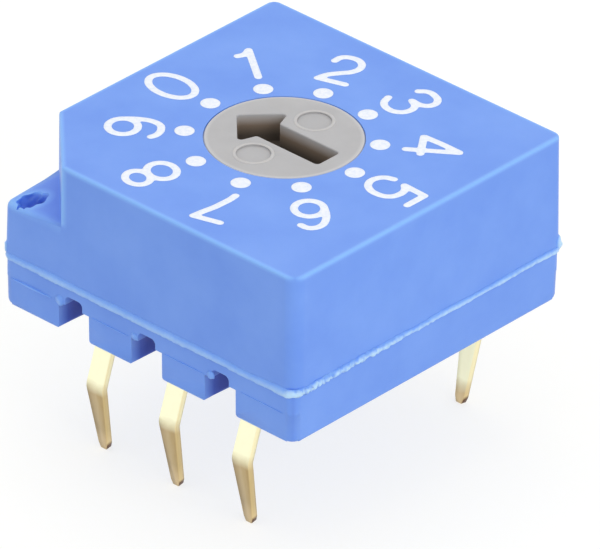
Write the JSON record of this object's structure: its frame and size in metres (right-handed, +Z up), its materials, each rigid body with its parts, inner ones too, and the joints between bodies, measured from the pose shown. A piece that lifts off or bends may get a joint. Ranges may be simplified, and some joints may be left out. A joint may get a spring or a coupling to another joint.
{
  "type": "rotary dip switch",
  "caption": "Square board-mounted rotary coded switch: blue sealed housing, grey driver-slot rotor with click stops, and two rows of gold-plated terminals.",
  "frame": {"origin": "on the rotor's axis, in the middle of the body in plan, at the level of the terminals' tips", "axes": "+X along the rows of terminals, +Y across the rows, +Z up out of the rotor's slotted face; the chamfered marking corner is at -X, -Y"},
  "size_m": [0.01, 0.01, 0.0087],
  "materials": {
    "housing_blue": "moulded, satin",
    "rotor_grey": "moulded, satin",
    "contact_gold": "gold-plated strip, bright",
    "spring_steel": "rolled strip",
    "seal_rubber": "moulded ring"
  },
  "bodies": {
    "housing": {"cover": "housing_blue", "base": "housing_blue", "detent_spring_left": "spring_steel", "detent_spring_right": "spring_steel", "terminal_1": "contact_gold", "terminal_common_front": "contact_gold", "terminal_4": "contact_gold", "terminal_8": "contact_gold", "terminal_common_rear": "contact_gold", "terminal_2": "contact_gold"},
    "rotor": {"rotor": "rotor_grey", "rotor_seal": "seal_rubber", "code_disc": "contact_gold"}
  },
  "joints": [
    {"name": "rotor_turn", "type": "hinge", "parent": "housing", "child": "rotor", "pos_m": [0, 0, 0.00735], "axis": [0, 0, 1], "continuous": true, "deforming": ["detent_spring_left", "detent_spring_right"]}
  ]
}
